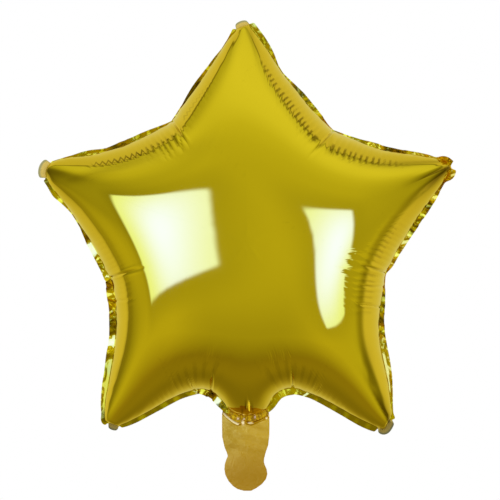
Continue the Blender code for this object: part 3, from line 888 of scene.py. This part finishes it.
def buildRim():
    count = int(seamTotal / rimForm["spacing"])
    places = np.arange(count) * seamTotal / count
    line = sampled(seam, places)
    normals = outwardNormals(line)
    widths = seamValue(places, 2) * mm
    across = np.linspace(0, 1, rimForm["rows"])
    outward = across[:, None]
    turn = places / rimForm["ruffleLength"] * 2 * math.pi
    ruffle = rimForm["ruffle"] * (np.sin(turn + 1.3 * np.sin(turn * 0.21)) + 0.5 * np.sin(turn * 2.3 + 1.0))
    least, more = rimForm["ruffleShare"]
    ruffle = ruffle * (least + more * seamValue(places, 3))
    lean = sum(math.radians(degrees) * nearRim(places, *spot) for *spot, degrees in rimRows("leans"))
    tab = np.zeros(count)
    shade = np.ones(count)
    for corner, middle, half, width, bright in rimForm["tabs"]:
        gap = np.abs(roundGap(places, cornerPlace(corner) + middle * mm)) / (half * mm)
        share = 1 - smoothStep(0.85, 1.1, gap)
        widths = widths * (1 - share) + share * width * mm * np.sqrt(np.clip(1 - 0.5 * gap**2, 0, 1))
        widths *= 1 - 0.8 * np.exp(-(((gap - 1.15) * half / 1.2) ** 2))
        lean = lean * (1 - share)
        shade += share * (bright - 1)
        tab += share
    widths *= 1 - 0.85 * nearRim(places, *rimForm["pinched"])
    widths = widths + rimForm["sunk"]
    crumple = crumpleHeights(places, across) * (1 - tab)
    lift = swayOfSeam(places) * filmForm["waveHeight"] + outward**1.2 * (ruffle * (1 - tab))
    lift = lift + crumple * smoothStep(0, 0.35, outward) - outward * (widths * np.sin(lean))
    for *spot, half in rimRows("glints"):
        share = nearRim(slanted(places, across, spot), *spot, half)
        if half > rimForm["longGlint"]:
            share = share * (1 - smoothStep(0.5, 0.75, outward))
        near = np.abs(roundGap(places, cornerPlace(spot[0]) + spot[1] * mm)).argmin()
        gap = line + normals * (outward * widths)[:, :, None] - line[near]
        flatLift = gap @ np.array(rimForm["rightTilt" if spot[0].startswith("right") else "leftTilt"])
        lift = lift * (1 - share) + flatLift * share
    reach = -rimForm["sunk"] + outward * (widths * np.maximum(np.cos(lean), 0.85))
    flat = line + normals * reach[:, :, None]
    middle = np.stack([flat[:, :, 0], lift, flat[:, :, 1] + starShape["centreZ"]], axis=2)
    half = np.array((0, rimForm["thickness"] / 2, 0))
    rows = np.concatenate([middle - half, (middle + half)[::-1]])
    this = np.arange(len(rows) * count).reshape(-1, count)
    other = np.roll(this, -1, axis=0)
    faces = np.stack([this, np.roll(this, -1, axis=1), np.roll(other, -1, axis=1), other], axis=2).reshape(-1, 4)
    rim = addPiece("sealed_rim", rows.reshape(-1, 3), faces)
    rim.data.set_sharp_from_angle(angle=math.radians(rimForm["sharpAngle"]))
    # painted shade in the crumples' hollows and painted light on their ridges, then the painted reflections and tabs
    level, change = rimForm["tone"]
    tone = np.clip(level + crumple / rimForm["crumple"] * change, 0, 1)
    colours = np.array(rimForm["crumpleShadeColours"])
    tint = np.stack([np.interp(tone, rimForm["crumpleShadeTones"], colours[:, k]) for k in range(3)], axis=2)
    for *spot, share, name in rimRows("paintedReflections"):
        # in a black, olive or orange patch of painted reflection the brightest facets keep some of their own painted
        # tone
        cover = 1 - 0.7 * tone**2 if name in ("black", "olive", "orange") else 1
        share = (share * nearRim(slanted(places, across, spot), *spot) * cover)[:, :, None]
        tint = tint * (1 - share) + share * np.array(rimForm["reflectionColours"][name])
    edge = smoothStep(0.62, 0.8, outward)[:, :, None]
    tabTint = np.array(rimForm["tabColour"]) * (1 - edge) + np.array(rimForm["tabEdge"]) * edge
    tint = np.where(tab[:, None] > 0.02, shade[:, None] * tabTint, tint)
    tint = np.concatenate([tint, np.ones((*tint.shape[:2], 1))], axis=2)
    setAttribute(rim.data, "tint", np.concatenate([tint, tint[::-1]]).reshape(-1, 4))
    setAttribute(rim.data, "clear", np.tile(tab, len(rows)))
    return rim


tailForm = {
    # edge points: height above the tie and distance from the middle, in millimetres
    "left": (
        (58, -21), (46, -24), (40, -25), (31, -25), (18, -24.8), (8, -22.5), (2, -20), (-1, -19.2), (-4, -20.5),
        (-9, -22.2), (-14, -22.6), (-20, -21.6), (-26, -18.5), (-31, -14), (-34, -9.5), (-35.8, -3),
    ),
    "right": (
        (58, 18), (46, 21), (40, 22.3), (31, 22.5), (20, 22.3), (10, 21.2), (3, 18.8), (-3, 17.2), (-7, 16.9),
        (-10, 17.8), (-14, 19.6), (-19, 20.4), (-24, 19), (-29, 15), (-33, 9.5), (-35.8, 4),
    ),
    # the folded lip where the tail leaves the bag: distance from the middle and height, in millimetres
    "lip": (
        (-26, 44), (-20, 38), (-14, 33.2), (-9, 30.6), (-5, 32.5), (-3, 34), (0, 32), (4.5, 31), (12, 34),
        (19.5, 37.5), (24, 40),
    ),
    # painted highlights at the neck, small spots shown without metal: distance from the middle, height, half width,
    # half height (mm) and strength
    "glints": (
        (-4, 32.5, 1.2, 1.6, 1.0), (-3, 36, 0.8, 0.8, 0.6), (3.5, 32, 2.2, 0.7, 0.9), (-9, 36.5, 1.0, 1.0, 0.5),
        (19.5, 37, 0.9, 1.0, 0.8), (22, 39.5, 0.7, 1.2, 0.7), (8, 38, 0.8, 1.6, 0.3),
    ),
    # how far it stands out (mm): least, the swell of its middle, and the lip with its half width
    "least": 0.2,
    "swell": 0.9,
    "lipDepth": 1.1,
    "lipWidth": 0.9,
    # sharp creases above the lip and below it: height and spacing (mm), and the seed
    "neckCreases": (0.2, 10.0, 3),
    "bandCreases": (0.22, 14.0, 8),
    "sharpAngle": 45,
    "thickness": 0.5 * mm,
    "columns": 96,
    "rows": 170,
}


def crumpled(x, z, height, spacing, seed):
    # sharp folds at random slants, up to about the height in and out
    draw = np.random.default_rng(seed)
    total = np.zeros(x.shape)
    for i in range(7):
        angle = draw.uniform(0, math.pi)
        wave = (x * math.cos(angle) + z * math.sin(angle)) / (spacing * draw.uniform(0.6, 1.6)) + draw.uniform(0, 1)
        bend = 0.35 * np.sin((z * math.cos(angle) - x * math.sin(angle)) / spacing * 0.8 + i)
        total += np.abs(np.mod(wave + bend, 1.0) - 0.5) * 4 - 1
    return height * (total / 3.5)


def buildTail():
    bpy.ops.object.select_all(action="DESELECT")
    columns, rows = tailForm["columns"], tailForm["rows"]
    bpy.ops.mesh.primitive_grid_add(x_subdivisions=columns, y_subdivisions=rows, size=2, location=(0, 0, 0))
    tail = bpy.context.object
    tail.name = "filling_tail"
    coordinates = np.zeros(len(tail.data.vertices) * 3)
    tail.data.vertices.foreach_get("co", coordinates)
    coordinates = coordinates.reshape(-1, 3)
    share = (coordinates[:, 0] + 1) / 2
    top, bottom = tailForm["left"][0][0], tailForm["left"][-1][0]
    height = bottom + (top - bottom) * (coordinates[:, 1] + 1) / 2
    left, right = (np.interp(height, *np.array(tailForm[side], float)[::-1].T) for side in ("left", "right"))
    across = left + (right - left) * share
    above = height - np.interp(across, *np.array(tailForm["lip"], float).T)
    depth = tailForm["swell"] * np.cos((share - 0.5) * 2.6) * smoothStep(-36, -10, height) + tailForm["least"]
    depth += tailForm["lipDepth"] * np.exp(-((above / tailForm["lipWidth"]) ** 2))
    depth += crumpled(across, height, *tailForm["neckCreases"]) * smoothStep(-0.5, 2.0, above)
    depth += crumpled(across, height, *tailForm["bandCreases"]) * smoothStep(-14, 16, height)
    # painted highlights on the left end of the lip and on the small spots at the neck
    shine = np.exp(-(((above - 0.2) / 0.8) ** 2)) * (1 - smoothStep(-10, -7, across)) * smoothStep(-25, -22, across)
    for x, z, wide, tall, amount in tailForm["glints"]:
        shine = np.maximum(shine, amount * np.exp(-(((across - x) / wide) ** 2) - ((height - z) / tall) ** 2))
    fold = smoothStep(-0.2, 1.2, above)
    setAttribute(tail.data, "neck", np.stack([fold, shine, 0 * fold, 0 * fold + 1], axis=1))
    tail.data.vertices.foreach_set("co", (np.stack([across, -depth, height], axis=1) * mm).ravel())
    tail.data.update()
    solidify = tail.modifiers.new("Thickness", "SOLIDIFY")
    solidify.thickness = tailForm["thickness"]
    solidify.offset = 0
    bpy.ops.object.modifier_apply(modifier=solidify.name)
    bpy.ops.object.shade_smooth_by_angle(angle=math.radians(tailForm["sharpAngle"]))
    print("filling_tail: %d faces" % len(tail.data.polygons))
    return tail


def rimMaterial():
    material, tree, shader = newMaterial("rim_film")
    clear = tree.node("ShaderNodeAttribute", {"attribute_name": "clear"}, None, 2)
    # the foil's colour with its painted shade, light and reflections
    tint = tree.node("ShaderNodeAttribute", {"attribute_name": "tint"})
    place = tree.node("ShaderNodeTexCoord", outputs=3)
    metal = 1 - clear.step(0.0, 0.04)
    grain = noise(place, 260.0, 3.0, roughness=0.6)
    wrinkle = noise(place, 420.0, 3.0, distortion=0.8)
    feed(shader, {
        "Specular IOR Level": 0.0,
        "Specular Tint": filmFinish["edgeTint"],
        "Metallic": metal,
        "Base Color": ((grain - 0.35) * 0.5 * metal).blend(tint, rimForm["grainColour"]),
        "Roughness": grain * 0.12 + 0.08,
        "Normal": tree.node("ShaderNodeBump", None, {"Strength": 0.3, "Distance": 0.0003, "Height": wrinkle}),
    })
    return material


tailFinish = {
    # painted light and shade: darker towards the bottom, lighter towards the top
    "lowColour": (0.66, 0.345, 0.009),
    "highColour": (0.94, 0.58, 0.02),
    "mottleColour": (0.62, 0.33, 0.01),
    "leftShadeColour": (0.5, 0.28, 0.004),  # towards its left edge
    # painted shade and light, in spots, on the folds above the lip
    "neckShadeAndLight": ((0.36, 0.15, 0.0), (0.85, 0.47, 0.0)),  # of the folds above the lip
    "paintedGlintColour": (1.0, 0.88, 0.5),
    "roughness": 0.34,
}


def tailMaterial():
    material, tree, shader = newMaterial("tail_film")
    place = tree.node("ShaderNodeTexCoord", outputs=3)
    across, height = tree.node("ShaderNodeSeparateXYZ", None, {0: place}, (0, 2))
    # painted light and shade: darker towards the bottom, lighter towards the top
    colour = height.step(-0.02, 0.035).blend(tailFinish["lowColour"], tailFinish["highColour"])
    colour = (noise(place, 90.0, 3.0, roughness=0.6) * 0.3).blend(colour, tailFinish["mottleColour"])
    # painted shade towards the tail's left edge, in its upper part
    shaded = across.step(0.006, -0.02) * height.step(-0.005, 0.012)
    colour = (shaded * 0.4).blend(colour, tailFinish["leftShadeColour"])
    neck = tree.node("ShaderNodeAttribute", {"attribute_name": "neck"})
    fold, shine = tree.node("ShaderNodeSeparateColor", None, {0: neck}, (0, 1))
    # painted shade and light, in spots, on the folds above the lip
    folded = noise(place, 230.0, 2.0, distortion=1.5).step(0.4, 0.62).blend(*tailFinish["neckShadeAndLight"])
    # painted highlights where the neck shines, which are also shown without metal
    colour = shine.step(0.0, 0.6).blend((fold * 0.85).blend(colour, folded), tailFinish["paintedGlintColour"])
    wrinkle = noise(place, 160.0, 4.0, distortion=1.2)
    feed(shader, {
        "Specular IOR Level": 0.0,
        "Specular Tint": filmFinish["edgeTint"],
        "Metallic": 1 - shine.step(0.08, 0.3),
        "Base Color": colour,
        "Roughness": tailFinish["roughness"],
        "Normal": tree.node("ShaderNodeBump", None, {"Strength": 0.4, "Distance": 0.0005, "Height": wrinkle}),
    })
    return material


rim = buildRim()
rim.data.materials.append(rimMaterial())
tail = buildTail()
tail.data.materials.append(tailMaterial())
for piece in (rim, tail):
    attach(piece, "root")
    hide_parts("star_balloon")

studio = {
    "cameraDistance": 4.0,
    "imageWidth": 0.5,  # metres across the picture at the seam's plane
    "aim": (3 * mm, 0, 205 * mm),
    "sensor": 36,
    "floorZ": -0.9,
    "floorSize": 4.0,
    "floorColour": (0.9, 0.9, 0.9),
    "floorRoughness": 0.8,
    # mirrored directions on each edge of the two softboxes: degrees to the right and up
    "leftBox": {
        "edges": (
            ((-55.8, 15.1), (-31.9, 18.6), (-10.0, 13.6)),
            ((-10.0, 13.6), (-6.9, 4.4), (-5.6, -3.5)),
            ((-5.6, -3.5), (-24.2, -9.8), (-53.7, -15.0)),
            ((-53.7, -15.0), (-54.8, -8.0), (-55.4, 15.1)),
        ),
        "softness": (0.026, 0.024, 0.018, 0.055),
        "core": (-26, 2.0),
        "falloff": 19,
    },
    "rightBox": {
        "edges": (
            ((14.4, 9.4), (22.9, 10.3), (36.0, 9.2)),
            ((37.0, 8.4), (45.4, -6.5), (56.6, -16.0)),
            ((56.6, -16.0), (46.9, -20.0), (34.6, -23.7)),
            ((34.0, -23.7), (21.2, -7.5), (13.9, 9.4)),
        ),
        "softness": (0.024, 0.03, 0.024, 0.026),
        "core": (31, -3.0),
        "falloff": 26,
    },
    "edgeLight": (1.02, 1.43, 3.25),
    "coreLight": (1.17, 1.64, 23.0),
    # the room in front of the star, from straight down to straight up
    "room": (
        (0.0, (0.29, 0.245, 0.045)), (0.09, (0.33, 0.275, 0.05)), (0.18, (0.46, 0.43, 0.075)),
        (0.25, (0.56, 0.54, 0.1)), (0.5, (0.56, 0.56, 0.11)), (0.67, (0.55, 0.555, 0.11)),
        (0.75, (0.59, 0.6, 0.13)), (0.82, (0.66, 0.675, 0.175)), (0.885, (0.78, 0.81, 0.3)),
        (0.935, (0.82, 0.85, 0.35)), (1.0, (0.8, 0.83, 0.35)),
    ),
    # its brightness from left to right
    "sides": ((0.0, 0.66), (0.12, 0.68), (0.35, 0.98), (0.6, 1.0), (0.8, 0.96), (1.0, 0.78)),
    "lowColour": (0.02, 0.015, 0.0),  # its dark middle below the boxes
    "stripColour": (0.05, 0.04, 0.01),  # where it ends beside the star
    # the room behind the star, from straight down to straight up
    "rear": (
        (0.0, (0.45, 0.38, 0.139)), (0.14, (0.54, 0.47, 0.209)), (0.38, (0.7, 0.65, 0.348)),
        (0.5, (0.74, 0.69, 0.418)), (0.75, (0.74, 0.69, 0.418)), (0.92, (0.66, 0.62, 0.348)),
        (1.0, (0.62, 0.6, 0.348)),
    ),
    "lineColour": (0.08, 0.04, 0.0),  # the dark line between the two rooms
}


def directionOf(degrees):
    azimuth, elevation = (math.radians(value) for value in degrees)
    flat = math.cos(elevation)
    return np.array([flat * math.sin(azimuth), -flat * math.cos(azimuth), math.sin(elevation)])


def placeCamera():
    data = bpy.data.cameras.new("camera")
    data.sensor_width = studio["sensor"]
    data.lens = studio["sensor"] * studio["cameraDistance"] / studio["imageWidth"]
    data.clip_end = 100
    camera = bpy.data.objects.new("camera", data)
    bpy.context.collection.objects.link(camera)
    x, y, z = studio["aim"]
    camera.location = (x, y - studio["cameraDistance"], z)
    camera.rotation_euler = (math.radians(90), 0, 0)
    bpy.context.scene.camera = camera


def softbox(direction, box):
    # each edge is the circle through its three directions; inside is where all four are passed
    def towards(vector):
        return direction.node("ShaderNodeVectorMath", {"operation": "DOT_PRODUCT"}, {0: direction, 1: tuple(vector)}, 1)

    inside, halo = 1, 1
    core = directionOf(box["core"])
    for edge, softness in zip(box["edges"], box["softness"]):
        first, second, third = (directionOf(point) for point in edge)
        normal = np.cross(second - first, third - first)
        normal /= np.linalg.norm(normal)
        offset = float(normal @ first)
        if core @ normal < offset:
            normal, offset = -normal, -offset
        distance = towards(normal) - offset
        inside = inside * distance.step(-softness / 2, softness / 2)
        halo = halo * distance.step(-0.16, 0.0)
    return inside, ((towards(core) - 1) * box["falloff"]).math("EXPONENT"), halo


def paintWorld():
    world = bpy.data.worlds.new("studio")
    bpy.context.scene.world = world
    world.use_nodes = True
    world.node_tree.nodes.clear()
    tree = Socket(world.node_tree)
    direction = tree.node("ShaderNodeTexCoord")
    x, y, z = tree.node("ShaderNodeSeparateXYZ", None, {0: direction}, (0, 1, 2))
    room = tree.node("ShaderNodeValToRGB", {"stops": studio["room"]}, {0: (z + x * 0.12) * 0.5 + 0.5})
    greys = [(place, (level,) * 3) for place, level in studio["sides"]]
    sides = tree.node("ShaderNodeValToRGB", {"stops": greys}, {0: x * 0.5 + 0.5})
    shade = (z.step(0.45, 0.8) + z.step(-0.1, -0.35)).blend(sides, (1.0, 1.0, 1.0))
    room = tree.node("ShaderNodeMix", {"data_type": "RGBA", "blend_type": "MULTIPLY"}, {0: 1.0, 6: room, 7: shade}, 2)
    middle = (1 - abs(x).step(0.12, 0.5)) * z.step(0.02, -0.5) * z.step(-0.97, -0.75)
    room = (middle * 0.26).blend(room, studio["lowColour"])
    room = (y.step(-0.3, 0.15) * 0.2).blend(room, studio["stripColour"])
    rear = tree.node("ShaderNodeValToRGB", {"stops": studio["rear"]}, {0: z * 0.5 + 0.5})
    # the border between the two rooms: how far a direction is turned past it, soft in some places and sharp in others
    low = z.step(-0.35, -0.65)
    up = z.step(0.25, 0.55)
    turned = y + x * (up * 0.06 + 0.13) - up * 0.07 + z.step(0.7, 0.82) * x.step(-0.2, -0.42) * 0.16
    behind = turned - low * 0.5
    soft = x.step(0.3, 0.65) * (1 - z.step(0.35, 0.6))
    soft = soft + x.step(-0.3, -0.65) * (1 - z.step(0.2, 0.45)) * 0.7
    soft = soft + x.step(0.08, 0.2) * (1 - x.step(0.42, 0.56)) * z.step(0.7, 0.85) * 0.85
    share = behind.step(0.17, 0.22) * (1 - soft) + behind.step(0.08, 0.36) * soft
    share = share * (1 - low) + behind.step(-0.3, 0.5) * low
    mixed = share.blend(room, rear)
    line = turned.step(0.1, 0.16) * (1 - turned.step(0.17, 0.23)) * 0.6
    wide = turned.step(-0.15, 0.08) * (1 - turned.step(0.1, 0.3)) * 0.34
    mixed = ((line * (1 - soft) + wide * soft) * (1 - low)).blend(mixed, studio["lineColour"])
    for name in ("leftBox", "rightBox"):
        inside, glow, halo = softbox(direction, studio[name])
        mixed = (halo * 0.15).blend(mixed, (0.0, 0.0, 0.0))
        mixed = inside.blend(mixed, glow.blend(studio["edgeLight"], studio["coreLight"]))
    # only what mirrors sees the room; everything else gets plain white light
    shown = tree.node("ShaderNodeLightPath", outputs=3).blend((1.0, 1.0, 1.0), mixed)
    tree.node("ShaderNodeOutputWorld", None, {0: tree.node("ShaderNodeBackground", None, {0: shown, 1: 1.0})})
    print("world painted")


def layFloor():
    bpy.ops.object.select_all(action="DESELECT")
    bpy.ops.mesh.primitive_plane_add(size=studio["floorSize"], location=(0, 0, studio["floorZ"]))
    floor = bpy.context.object
    floor.name = "floor"
    floor.visible_glossy = False
    material, _, shader = newMaterial("pale_floor")
    feed(shader, {"Base Color": (*studio["floorColour"], 1.0), "Roughness": studio["floorRoughness"]})
    floor.data.materials.append(material)


placeCamera()
paintWorld()
layFloor()
bpy.context.scene.view_settings.view_transform = "Standard"
